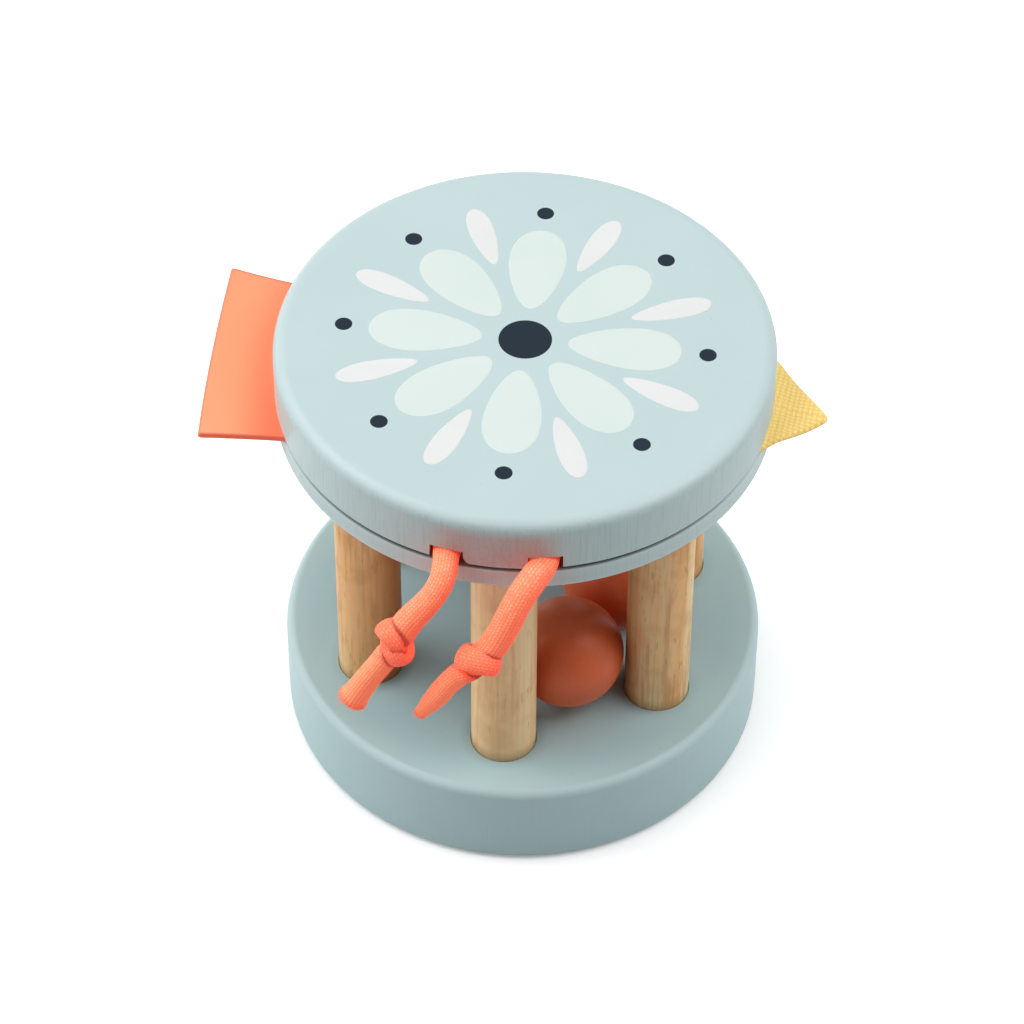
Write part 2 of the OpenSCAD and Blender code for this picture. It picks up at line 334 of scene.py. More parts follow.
def crowded(points, line, radius):
    """1 where another stretch of the cord touches a point of its surface, and 0 from half a millimetre
    away. The gap is the distance to a station of the line less its strand's pressed radius; stations that
    are nearer along the line than a turn of the knot don't count."""
    at = distance_along(line)
    gap = np.ones(points.shape[:2])
    for station in range(0, len(line), 4):
        far = np.linalg.norm(points - line[station], axis=-1) - pressed_share * radius[station]
        far[np.abs(at - at[station]) < 4 * mm] = 1
        gap = np.minimum(gap, far)
    return 1 - step_up(gap, 0.05 * mm, 0.55 * mm)


def held_on(values, count):
    """The same values with the last one repeated."""
    return np.concatenate([values, np.repeat(values[-1:], count, axis=0)])


def braided_tube(name, line, radius, squeeze, knot=None, dome=0.0, ragged=0.0, steps_round=144):
    """Rings carried along the line and lifted by the braid. Along its squeeze direction each ring gets
    thinner, and across it wider. The far end closes in a dome whose radius falls as a quarter of a cosine,
    roughened by seeded chance where the cut fibres stand out."""
    press, thin, wide = squeeze
    forward = directions(line)
    sides = carried_sides(forward, (1, 0, 0))
    if dome:
        fall = np.linspace(0, math.pi / 2, 14)[1:-1]
        line = np.concatenate([line, line[-1] + forward[-1] * (dome * np.sin(fall))[:, None]])
        radius = np.concatenate([radius, radius[-1] * np.cos(fall)])
        carried = (forward, sides, press, thin, wide)
        forward, sides, press, thin, wide = (held_on(values, len(fall)) for values in carried)
    at = distance_along(line)
    around = np.linspace(0, 2 * math.pi, steps_round, endpoint=False)
    lift = braid_height(at[:, None], around[None, :])
    relief = stitch_height * (lift - 0.5) * step_up(radius, 0.2 * mm, 1.2 * mm)[:, None]
    if ragged:
        fibres = np.random.default_rng(7).normal(size=(len(line), steps_round))
        relief = relief + ragged * fibres * step_up(at, at[-1] - 1.6 * mm, at[-1])[:, None]
    reach = (radius[:, None] + relief)[..., None]
    across = np.cross(forward, sides)
    rings = reach * (np.cos(around)[:, None] * sides[:, None] + np.sin(around)[:, None] * across[:, None])
    points = line[:, None] + rings
    for way, share in ((press, thin), (np.cross(forward, press), wide)):
        moved = (rings * way[:, None]).sum(axis=-1) * (share - 1)[:, None]
        points = points + moved[..., None] * way[:, None]
    turn = np.linspace(0, 1, steps_round + 1)
    uv = np.stack(np.broadcast_arrays(turn[None, :] * cord_girth_mm, at[:, None] / mm), axis=-1)
    values = {"stitch": lift, "crease_shade": crowded(points, line, radius)}
    if knot:
        start, end = knot[:2]
        pull = step_up(at, start - 1 * mm, start + 2 * mm) - 2 * step_up(at, end - 2 * mm, end + 1 * mm)
        values["pull"] = np.repeat(pull, steps_round)
    return grid_mesh(name, points, uv, values, round_columns=True, closed_ends=True), line


# %% Cord girths
cord_radius = 2.1 * mm
knot_radius = 1.5 * mm
slot_thin = 0.643
wrap_thin, wrap_wide = 0.34, 0.24


def inside_span(at, start, end, outer, inner):
    """1 between two places along a cord and 0 outside them, with a smooth S from outer to inner at each."""
    return step_up(at, start + outer, start + inner) * step_up(-at, outer - end, inner - end)


def across_part(vectors, forward):
    """What is left of vectors when their part along the cord is taken out."""
    return vectors - forward * (vectors * forward).sum(axis=1)[:, None]


def girth(line, knot, ends):
    """The radius along a cord: full outside the knot, less where the knot pulls it tight, and shaped at the
    end by the given shares of it."""
    at = distance_along(line)
    start, end = knot[:2]
    in_knot = inside_span(at, start, end, 0.3 * mm, 3.5 * mm)
    radius = cord_radius + (knot_radius - cord_radius) * in_knot
    from_end, share = np.array(ends).T
    return radius * np.interp(at, at[-1] + from_end * mm, share)


def squeezed(line, knot):
    """How the cord is squeezed along its length: a direction across the cord, how thin it gets that way and
    how wide across it. In the slot it is pressed from above, and in the knot each wrap towards the knot's
    middle."""
    at = distance_along(line)
    start, end, middle = knot
    forward = directions(line)
    in_slot = 1 - step_up(at, 3.6 * mm, 7 * mm)
    away = across_part(line - middle, forward)
    in_wrap = inside_span(at, start, end, -1 * mm, 2 * mm)
    in_wrap = in_wrap * step_up(np.linalg.norm(away, axis=1), 0.4 * mm, 1.2 * mm)
    press = np.where(in_slot[:, None] > 0, (0.0, 0.0, 1.0), away)
    press = unit(across_part(press, forward))
    return press, 1 - (1 - slot_thin) * in_slot - wrap_thin * in_wrap, 1 + wrap_wide * in_wrap


left_ends = [
    (-48, 1), (-45, 0.88), (-39, 0.88), (-34, 1), (-15, 1), (-12, 0.92), (-9, 0.86), (-5, 0.87),
    (-1.5, 0.94), (-0.4, 1), (0, 1),
]
right_ends = [(-14, 1), (-11.5, 0.86), (-8, 0.8), (-5, 0.8), (-2.5, 0.68), (-0.8, 0.52), (0, 0.44)]
cord_left, left_path = braided_tube(
    "braided_cord_left", left_line, girth(left_line, left_knot, left_ends),
    squeezed(left_line, left_knot), left_knot, dome=0.3 * mm, ragged=0.15 * mm)
cord_right, right_path = braided_tube(
    "braided_cord_right", right_line, girth(right_line, right_knot, right_ends),
    squeezed(right_line, right_knot), right_knot, dome=0.6 * mm, ragged=0.07 * mm)
for cord in (cord_left, cord_right):
    print(cord.name, len(cord.data.polygons), "faces")


# %% Cut fibres
def cut_fibres(name, path, radius, count, longest):
    """Loose fibres at a cut end: thin tapering strands that start on the end's disc, lean out from its
    middle and bend by the square of the distance along them. All strands are one array."""
    rings, corners, thickness = 6, 5, 0.04 * mm
    chance = np.random.default_rng(11)
    ahead = unit(path[-1] - path[-6])
    side = unit(np.cross(ahead, (0, 0, 1)))
    other = np.cross(ahead, side)
    angle = chance.uniform(0, 2 * math.pi, count)
    share = chance.uniform(0.35, 1, count) ** 0.5
    out = np.cos(angle)[:, None] * side + np.sin(angle)[:, None] * other
    start = path[-1] - ahead * 0.7 * mm + out * (share * radius * 0.97)[:, None]
    length = chance.uniform(0.5, 1, count) * longest
    lean = out * (0.5 * share)[:, None] + chance.normal(size=(count, 3)) * 0.4
    u = np.linspace(0, 1, rings)
    middle = start[:, None] + (length[:, None] * u)[..., None] * (ahead + lean[:, None] * u[:, None])
    corner = np.arange(corners) * 2 * math.pi / corners
    ring = np.cos(corner)[:, None] * side + np.sin(corner)[:, None] * other
    points = middle[:, :, None] + ring * (thickness * (1 - 0.6 * u))[:, None, None]
    index = np.arange(count * rings * corners).reshape(count, rings, corners)
    after = np.roll(index, -1, axis=2)
    walls = np.stack([index[:, :-1], after[:, :-1], after[:, 1:], index[:, 1:]], axis=-1).reshape(-1, 4)
    return new_piece(name, points, [walls, index[:, 0, ::-1], index[:, -1]], smooth=False)


left_fibres = cut_fibres("cut_fibres_left", left_path, 2 * mm, 360, 0.85 * mm)
right_fibres = cut_fibres("cut_fibres_right", right_path, 0.85 * mm, 90, 0.7 * mm)
for fibres in (left_fibres, right_fibres):
    print(fibres.name, len(fibres.data.polygons), "faces")

# %% The bend inside the disc
post_ring = 26 * mm
half_turn = np.linspace(0, math.pi, 60)
bend_turn = np.stack([
    -bend_radius * np.cos(half_turn),
    -post_ring + bend_radius * np.sin(half_turn),
    np.full(60, cord_height),
], axis=-1)
bend_line = respaced(np.concatenate([[left_start], bend_turn, [right_start]]), 0.25 * mm)
stations = len(bend_line)
pressed_down = (np.tile([0.0, 0.0, 1.0], (stations, 1)), np.full(stations, slot_thin), np.ones(stations))
cord_bend, bend_path = braided_tube(
    "braided_cord_bend", bend_line, np.full(stations, cord_radius), pressed_down, steps_round=48)
print("bend", round(distance_along(bend_path)[-1] / mm, 1), "mm")

for piece, node in ((cord_left, "cord_left"), (cord_right, "cord_right"), (cord_bend, "cord_bend")):
    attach(piece, "cage")
    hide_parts(node)
for piece in (left_fibres, right_fibres):
    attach(piece, "cage")
for piece, path, side in ((cord_left, left_path, -1), (cord_right, right_path, 1)):
    print(piece.name, "declared,", round(2 * cord_radius / mm, 1), "mm thick")

# %% [markdown]
# Finishes are built from shader nodes. A few small helpers place a node, set what is plain and link what is
# not, so each finish below reads as a list of what the surface does.

# %% Node helpers
def feed(tree, socket, value):
    """Links a node's first output, or a given output, to the socket; anything else is set on it."""
    if isinstance(value, bpy.types.Node):
        value = value.outputs[0]
    if isinstance(value, bpy.types.NodeSocket):
        tree.links.new(value, socket)
    else:
        socket.default_value = value


def fill(tree, node, **inputs):
    """Feeds a node's inputs by name; an underscore stands for a space."""
    for name, value in inputs.items():
        feed(tree, node.inputs[name.replace("_", " ")], value)


def put(tree, kind, *in_turn, **given):
    """Adds one shader node. Inputs are given in turn, or by names that start with a capital; the other
    names are settings."""
    node = tree.nodes.new("ShaderNode" + kind)
    for name, value in given.items():
        if name[0].islower():
            setattr(node, name, value)
    for socket, value in zip(node.inputs, in_turn):
        feed(tree, socket, value)
    fill(tree, node, **{name: value for name, value in given.items() if name[0].isupper()})
    return node


def worked(tree, operation, *values):
    """A Math node on one to three numbers or outputs."""
    return put(tree, "Math", *values, operation=operation)


def times(tree, *values):
    """The product of two or more numbers or outputs."""
    product = values[0]
    for value in values[1:]:
        product = worked(tree, "MULTIPLY", product, value)
    return product


def scaled(tree, vector, by):
    """A vector with each of its three numbers multiplied by that of another."""
    return put(tree, "VectorMath", vector, by, operation="MULTIPLY")


def length(tree, vector):
    """The length of a vector."""
    return put(tree, "VectorMath", vector, operation="LENGTH").outputs["Value"]


def noise(tree, vector, scale, detail, roughness=0.5):
    """Smooth noise over a place."""
    return put(tree, "TexNoise", Vector=vector, Scale=scale, Detail=detail, Roughness=roughness)


def between(tree, value, low, high, start=0.0, end=1.0):
    """A Map Range node with a smooth S between low and high."""
    return put(tree, "MapRange", interpolation_type="SMOOTHSTEP", Value=value, From_Min=low, From_Max=high,
               To_Min=start, To_Max=end)


def below(tree, value, low, high):
    """1 up to low, falling as a smooth S to 0 at high."""
    return between(tree, value, low, high, 1.0, 0.0)


def own_place(tree):
    """Places on the piece itself, in metres."""
    return put(tree, "TexCoord").outputs["Object"]


def effect(tree, group, place, **values):
    """What a node group puts out at a place."""
    return put(tree, "Group", node_tree=group, Vector=place, **values).outputs


def bump(tree, strength, depth, height):
    """Small relief of a given depth that only the light sees."""
    return put(tree, "Bump", Strength=strength, Distance=depth, Height=height)


# %% Colours, groups and finishes
def colour(red, green, blue):
    """A colour given as it looks on a screen, 0 to 255, made linear for the shader."""
    share = np.array([red, green, blue]) / 255
    linear = np.where(share <= 0.04045, share / 12.92, ((share + 0.055) / 1.055) ** 2.4)
    return (*linear.tolist(), 1.0)


def mixed(tree, share, first, second):
    """The colour between two colours; share 0 is the first."""
    node = put(tree, "Mix", data_type="RGBA")
    for place, value in ((0, share), (6, first), (7, second)):
        feed(tree, node.inputs[place], value)
    return node.outputs[2]


def tinted(tree, base, *layers):
    """A colour under layers of others. Each layer is a mask, its strength, and its colour on a screen."""
    for mask, strength, tint in layers:
        base = mixed(tree, times(tree, mask, strength), base, colour(*tint))
    return base


def new_group(name, inputs, outputs):
    """An empty shader node group with named sockets: the group, its given values, and its end node."""
    group = bpy.data.node_groups.new(name, "ShaderNodeTree")
    group.interface.new_socket(name="Vector", in_out="INPUT", socket_type="NodeSocketVector")
    for label, value in inputs.items():
        socket = group.interface.new_socket(name=label, in_out="INPUT", socket_type="NodeSocketFloat")
        socket.default_value = value
    for label in outputs:
        group.interface.new_socket(name=label, in_out="OUTPUT", socket_type="NodeSocketFloat")
    return group, group.nodes.new("NodeGroupInput").outputs, group.nodes.new("NodeGroupOutput")


def new_finish(name):
    """A material with its own Principled shader, and its node tree."""
    material = bpy.data.materials.new(name)
    material.use_nodes = True
    return material, material.node_tree, material.node_tree.nodes["Principled BSDF"]


def dress(material, *pieces):
    """Puts one finish on pieces, in place of any they have."""
    for piece in pieces:
        piece.data.materials.clear()
        piece.data.materials.append(material)
    print(material.name, "on", [piece.name for piece in pieces])


# %% [markdown]
# Three effects serve more than one finish, so each is a node group.
# Grain is noise stretched along the wood: fine lines, and short flecks where the noise peaks.
# Paint film is what satin paint adds: a slow change of tone, a fine orange-peel, and rare pinholes.
# Cloth is a plain weave on the piece's own UV map in millimetres, with over and under yarns.

# %% Grain group
grain, given, leave = new_group(
    "grain",
    {"Across": 900, "Along": 30, "Fleck Across": 1000, "Fleck Along": 230, "Fleck Level": 0.62},
    ["Lines", "Flecks", "Tone"])
line_scale = put(grain, "CombineXYZ", given["Across"], given["Across"], given["Along"])
lines = noise(grain, scaled(grain, given["Vector"], line_scale), 1.0, 3.0, 0.6)
fleck_scale = put(grain, "CombineXYZ", given["Fleck Across"], given["Fleck Across"], given["Fleck Along"])
fleck_noise = noise(grain, scaled(grain, given["Vector"], fleck_scale), 1.0, 1.0)
fleck_high = worked(grain, "ADD", given["Fleck Level"], 0.07)
flecks = between(grain, fleck_noise, given["Fleck Level"], fleck_high)
tone_scale = (190, 190, 14)
tone = noise(grain, scaled(grain, given["Vector"], tone_scale), 1.0, 2.0, 0.55)
fill(grain, leave, Lines=lines, Flecks=flecks, Tone=tone)

# %% Paint film group
film, given, leave = new_group(
    "paint film", {"Blotch": 55, "Peel": 2600, "Pinhole Level": 0.8}, ["Tone", "Peel", "Pinholes"])
blotch = noise(film, given["Vector"], given["Blotch"], 3.0)
peel = noise(film, given["Vector"], given["Peel"], 1.0)
pin_noise = noise(film, given["Vector"], 1500.0, 0.0)
pin_high = worked(film, "ADD", given["Pinhole Level"], 0.05)
pinholes = between(film, pin_noise, given["Pinhole Level"], pin_high)
fill(film, leave, Tone=blotch, Peel=peel, Pinholes=pinholes)

# %% Cloth group
cloth, given, leave = new_group("cloth", {"Warp Pitch": 0.5, "Weft Pitch": 0.5}, ["Height", "Fibres"])
where = put(cloth, "SeparateXYZ", given["Vector"]).outputs
warp_turn = worked(cloth, "DIVIDE", where["X"], given["Warp Pitch"])
weft_turn = worked(cloth, "DIVIDE", where["Y"], given["Weft Pitch"])
warp_wave = worked(cloth, "SINE", times(cloth, warp_turn, math.pi))
weft_wave = worked(cloth, "SINE", times(cloth, weft_turn, math.pi))
warp_round = worked(cloth, "ABSOLUTE", warp_wave)
weft_round = worked(cloth, "ABSOLUTE", weft_wave)
warp_over = between(cloth, times(cloth, warp_wave, weft_wave), -0.35, 0.35)
height = put(cloth, "Mix", data_type="FLOAT")
for place, value in ((0, warp_over), (2, weft_round), (3, warp_round)):
    feed(cloth, height.inputs[place], value)
fibre_scale = (14, 3, 1)
fibres = noise(cloth, scaled(cloth, given["Vector"], fibre_scale), 1.0, 2.0, 0.6)
fill(cloth, leave, Height=height, Fibres=fibres)
print("groups:", [group.name for group in (grain, film, cloth)])

# %% [markdown]
# The cord is a bright coral polyester braid. Its colour carries painted light: the valleys between the
# stitches are painted deeper and redder as shade, the crests a pale peach as highlight, and the creases of
# the knots darkest. The side that faces the main light is painted paler and the side away from it deeper,
# so the colour also follows the direction of the surface. The knot is painted deeper as shade, and the
# loose ends paler as light. A little sheen gives the fuzzy edge, and a faint emission is a painted glow for
# the dye, which turns some of the light that falls on it into more red.

# %% Cord finish
painted_light_way = (-0.45, -0.3, 0.84)
cord_finish, tree, shader = new_finish("coral_braid")
stitch = put(tree, "Attribute", attribute_name="stitch").outputs["Fac"]
crease_shade = put(tree, "Attribute", attribute_name="crease_shade").outputs["Fac"]
pull = put(tree, "Attribute", attribute_name="pull").outputs["Fac"]
cord_uv = put(tree, "UVMap", uv_map="cloth")
yarn = effect(tree, cloth, cord_uv, Warp_Pitch=0.16, Weft_Pitch=0.34)
uneven = between(tree, noise(tree, cord_uv, 1.1, 2.0, 0.6), 0.3, 0.62, 0.3, 1.0)
crest = times(tree, between(tree, stitch, 0.25, 0.95), uneven)
# Painted light and shade: the side that faces the main light is paler, the side away from it darker.
normal = put(tree, "NewGeometry").outputs["Normal"]
facing = put(tree, "VectorMath", normal, painted_light_way, operation="DOT_PRODUCT").outputs["Value"]
painted_lit_side = between(tree, facing, -0.25, 0.9)
low_yarn = mixed(tree, painted_lit_side, colour(242, 86, 54), colour(252, 136, 94))
high_yarn = mixed(tree, painted_lit_side, colour(252, 134, 92), colour(255, 216, 168))
# Painted highlight on the crests, painted shade in the valleys.
threads = tinted(
    tree, mixed(tree, crest, low_yarn, high_yarn),
    (yarn["Fibres"], 0.2, (255, 196, 150)),
    # Painted shade on the knot, and painted light on the loose end.
    (between(tree, pull, 0.0, 1.0), 0.28, (238, 60, 42)),
    (below(tree, pull, -1.0, 0.0), 0.24, (255, 200, 138)),
    # Painted shade: the creases of the knots a dark red.
    (crease_shade, 0.85, (205, 48, 32)))
# Painted glow: a red emission, darker in the creases of the knots.
painted_glow = mixed(tree, crease_shade, colour(255, 50, 32), colour(150, 14, 8))
fuzz = bump(tree, 0.5, 0.05 * mm, yarn["Fibres"])
fill(tree, shader, Base_Color=threads, Roughness=0.65, Normal=fuzz, Emission_Color=painted_glow,
     Emission_Strength=0.36, Sheen_Weight=0.12, Sheen_Roughness=0.45, Sheen_Tint=colour(255, 200, 170))
dress(cord_finish, cord_left, cord_right, cord_bend, left_fibres, right_fibres)

# %% [markdown]
# The discs are turned wood under a matt grey-green paint. On the turned wall the wood's fine lines still
# show through as upright streaks, the flat faces are almost plain, and the wall is painted a little darker
# as shade. The rounded corners are paler, partly from thinner paint and partly as a painted highlight.
# Inside the cage the base is painted a darker tone as shade, with a painted contact shadow round the feet
# of the posts. The open seam between plate and cap is painted dark as the shade in its gap, most at the
# front, and round the two slots the paint takes a painted reflection of the cords' red light. Where all
# this lies is known from the radius, the angle and the height, so the masks need no mesh data.

# %% Paint wear and painted shade group
wall_radius = 37.5 * mm
base_top, plate_bottom, plate_top, cap_top = np.array([16, 64, 67.6, 77.2]) * mm
seam_middle = 67.75 * mm
corner, given, leave = new_group(
    "paint wear and painted shade", {"Radius": wall_radius, "Low": 0.0, "High": base_top},
    ["Rim", "Wall", "Inside", "Feet", "Seam", "Slots"])
where = put(corner, "SeparateXYZ", given["Vector"]).outputs
radius = length(corner, put(corner, "CombineXYZ", where["X"], where["Y"]))
inward = worked(corner, "SUBTRACT", given["Radius"], radius)
from_low = worked(corner, "SUBTRACT", where["Z"], given["Low"])
from_high = worked(corner, "SUBTRACT", given["High"], where["Z"])
near_edge = below(corner, worked(corner, "MINIMUM", from_low, from_high), 0.2 * mm, 1.4 * mm)
# Rim: the rounded corners, paler partly from thinner paint and partly as a painted highlight.
rim = times(corner, below(corner, inward, 0.2 * mm, 1.6 * mm), near_edge)
wall = below(corner, inward, 0.1 * mm, 0.8 * mm)
# Inside: away from the wall, where the base gets painted shade.
inside = between(corner, inward, 1 * mm, 6 * mm)

# Feet: round each post's foot on the base, where a painted contact shadow goes.
turn = worked(corner, "ARCTAN2", where["Y"], where["X"])
off_post = worked(corner, "PINGPONG", worked(corner, "ADD", turn, math.pi / 2), math.pi / 6)
past_post = worked(corner, "SUBTRACT", times(corner, radius, worked(corner, "COSINE", off_post)), post_ring)
beside_post = times(corner, radius, worked(corner, "SINE", off_post))
from_post = length(corner, put(corner, "CombineXYZ", past_post, beside_post))
feet = times(corner, below(corner, from_post, 4.9 * mm, 7.5 * mm),
             between(corner, radius, 21 * mm, 31 * mm, 1.0, 0.3))

# Seam: the gap between plate and cap, painted dark as shade, most at the front.
from_seam = worked(corner, "ABSOLUTE", worked(corner, "SUBTRACT", where["Z"], seam_middle))
seam = times(corner, below(corner, from_seam, 0.25 * mm, 0.45 * mm),
             between(corner, where["Y"], -34 * mm, -12 * mm, 0.85, 0.15))
# Slots: the wall round the two slots, where the cords' red light is painted.
slots = times(corner, below(corner, worked(corner, "ABSOLUTE", where["X"]), 5 * mm, 11.5 * mm),
              below(corner, where["Y"], -36.2 * mm, -34 * mm),
              below(corner, where["Z"], 73.8 * mm, 75.8 * mm),
              between(corner, where["Z"], 64.8 * mm, 69.5 * mm))
fill(corner, leave, Rim=rim, Wall=wall, Inside=inside, Feet=feet, Seam=seam, Slots=slots)
print("group:", corner.name, len(corner.nodes), "nodes")


# %% Painted wood
def painted_wood(name, low, high, streaks, inner_shade, tones):
    """The discs' paint between two heights: tone from the film, streaks and painted shade on the wall,
    paler corners that are partly a painted highlight, and by the given share a darker tone inside and a
    contact shadow round the posts, both painted shade. The seam is painted dark as shade, and round the
    slots the paint takes a painted reflection of the cords' red light."""
    material, tree, shader = new_finish(name)
    place = own_place(tree)
    wood = effect(tree, grain, place, Across=3600.0, Along=110.0, Fleck_Across=1500.0,
                  Fleck_Along=420.0, Fleck_Level=0.78)
    paint = effect(tree, film, place, Blotch=60.0, Peel=2600.0, Pinhole_Level=0.86)
    edges = effect(tree, corner, place, Radius=wall_radius, Low=low, High=high)
    on_wall = times(tree, edges["Wall"], streaks)
    pits = worked(tree, "MAXIMUM", times(tree, wood["Flecks"], on_wall), paint["Pinholes"])
    cord_light_share = between(tree, paint["Peel"], 0.3, 0.7, 0.35, 0.5)
    tone = tinted(
        tree, mixed(tree, paint["Tone"], *tones),
        (times(tree, between(tree, wood["Lines"], 0.5, 0.72), on_wall), 0.42, (168, 188, 189)),
        (times(tree, below(tree, wood["Lines"], 0.3, 0.46), on_wall), 0.3, (222, 236, 236)),
        (pits, 0.25, (140, 158, 159)),
        # Paler corners: partly thinner paint, partly a painted highlight.
        (edges["Rim"], 0.3, (224, 238, 238)),
        # Painted shade: the wall a little darker than the flat faces.
        (on_wall, 0.2, (172, 196, 198)),
        # Painted shade inside the cage, and a painted contact shadow round the feet of the posts.
        (edges["Inside"], inner_shade, (139, 194, 216)),
        (edges["Feet"], 2.5 * inner_shade, (92, 104, 102)),
        # Painted reflection of the cords' red light round the slots.
        (edges["Slots"], cord_light_share, (196, 132, 128)),
        # Painted shade in the seam's gap.
        (edges["Seam"], 1.0, (84, 96, 98)))
    height = worked(tree, "MULTIPLY_ADD", paint["Peel"], 0.2, times(tree, wood["Lines"], on_wall))
    height = worked(tree, "SUBTRACT", height, pits)
    fill(tree, shader, Base_Color=tone, Roughness=between(tree, paint["Tone"], 0.3, 0.7, 0.42, 0.5),
         Normal=bump(tree, 0.25, 0.1 * mm, height))
    return material


cap_tones = (colour(198, 220, 222), colour(206, 226, 227))
base_tones = (colour(186, 218, 222), colour(194, 224, 227))
discs = (
    ("base_disc", 0.0, base_top, 0.15, 0.2, base_tones),
    ("top_plate", plate_bottom, plate_top, 0.7, 0.0, cap_tones),
    ("top_cap", plate_top, cap_top, 1.0, 0.0, cap_tones),
)
for name, *look in discs:
    dress(painted_wood("paint_on_" + name, *look), nodes[name])

# %% [markdown]
# The posts are bare beech dowel: a warm tan with slow tone changes along the grain, fine lines, and the
# short dark flecks that tell beech from other woods. All of it runs along Z, the posts' own direction. The
# front post is painted paler, as the light that falls on it from the front. The sides that face into the
# cage are painted a darker, browner tone as shade, and the wood just above the base darker as shade at
# the foot.

# %% Beech
beech, tree, shader = new_finish("beech")
place = own_place(tree)
wood = effect(tree, grain, place, Across=1900.0, Along=38.0, Fleck_Across=2300.0,
              Fleck_Along=330.0, Fleck_Level=0.68)
broad = effect(tree, grain, place, Across=750.0, Along=75.0)
mottle = effect(tree, film, place, Blotch=210.0)
where = put(tree, "SeparateXYZ", place).outputs
from_axis = length(tree, scaled(tree, place, (1, 1, 0)))
slow_tone = between(tree, wood["Tone"], 0.32, 0.68)
front_post_light = below(tree, where["Y"], -20.5 * mm, -18.5 * mm)
tan = tinted(
    tree, mixed(tree, slow_tone, colour(252, 192, 124), colour(255, 227, 172)),
    # Painted light: the front post paler.
    (front_post_light, 0.4, (255, 228, 184)),
    (between(tree, mottle["Tone"], 0.5, 0.68), 0.3, (212, 144, 84)),
    (between(tree, wood["Lines"], 0.46, 0.72), 0.4, (204, 144, 88)),
    (wood["Flecks"], 0.45, (146, 94, 54)),
    (between(tree, broad["Lines"], 0.5, 0.68), 0.42, (196, 122, 66)),
    # Painted light on the front post again, over the grain.
    (front_post_light, 0.36, (255, 214, 158)),
    # Painted shade: darker just above the base, and on the sides that face into the cage.
    (below(tree, where["Z"], 15.8 * mm, 18.5 * mm), 0.4, (136, 82, 44)),
    (below(tree, from_axis, 22.5 * mm, 29.5 * mm), 0.82, (160, 94, 42)))
wood_height = worked(tree, "SUBTRACT", wood["Lines"], wood["Flecks"])
fill(tree, shader, Base_Color=tan, Roughness=between(tree, wood["Lines"], 0.3, 0.7, 0.5, 0.62),
     Normal=bump(tree, 0.25, 0.1 * mm, wood_height))
dress(beech, *[nodes[f"post_{number}"] for number in range(1, 7)])

# %% [markdown]
# The balls are dipped in terracotta paint with a satin gloss, so they show a soft light spot and the faint
# lines of the turned wood below.

# %% Ball paint
terracotta, tree, shader = new_finish("terracotta_paint")
place = own_place(tree)
paint = effect(tree, film, place, Blotch=110.0, Peel=1900.0, Pinhole_Level=0.8)
wood = effect(tree, grain, place, Across=1300.0, Along=110.0)
clay = tinted(
    tree, mixed(tree, paint["Tone"], colour(214, 96, 53), colour(228, 111, 64)),
    (between(tree, wood["Lines"], 0.5, 0.75), 0.15, (182, 78, 41)))
ball_height = worked(tree, "MULTIPLY_ADD", paint["Peel"], 0.4, wood["Lines"])
fill(tree, shader, Base_Color=clay, Roughness=between(tree, paint["Tone"], 0.3, 0.7, 0.4, 0.5),
     Specular_IOR_Level=0.35, Normal=bump(tree, 0.15, 0.1 * mm, ball_height))
dress(terracotta, nodes["ball_1"], nodes["ball_2"])

# %% [markdown]
# The side ribbon is a strip folded in two, with its cut ends glued into the seam. It is a sheet, so it is
# made as one: a line that goes out, turns round the fold and comes back is swept across the width, then
# lifted at the far back corner and lowered at the front one, as the real strip twists. Solidify gives it
# its thickness.

# %% Folded ribbon
ribbon_width = 32 * mm
ribbon_inner_x = -29.5 * mm
ribbon_outer_x = -47 * mm
ribbon_thickness = 0.4 * mm
ribbon_middle_z = 68.05 * mm


def declare_sheet(piece, node, thickness, flat):
    """Gives a folded sheet its thickness, half to each side, carries it with the cage in place of its CAD
    node, and prints its cut length.
    """
    thicken = piece.modifiers.new("thickness", "SOLIDIFY")
    thicken.thickness = thickness
    thicken.offset = 0
    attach(piece, "cage")
    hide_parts(node)
    print(piece.name, "cut", round(flat[1] / mm, 1), "mm long")


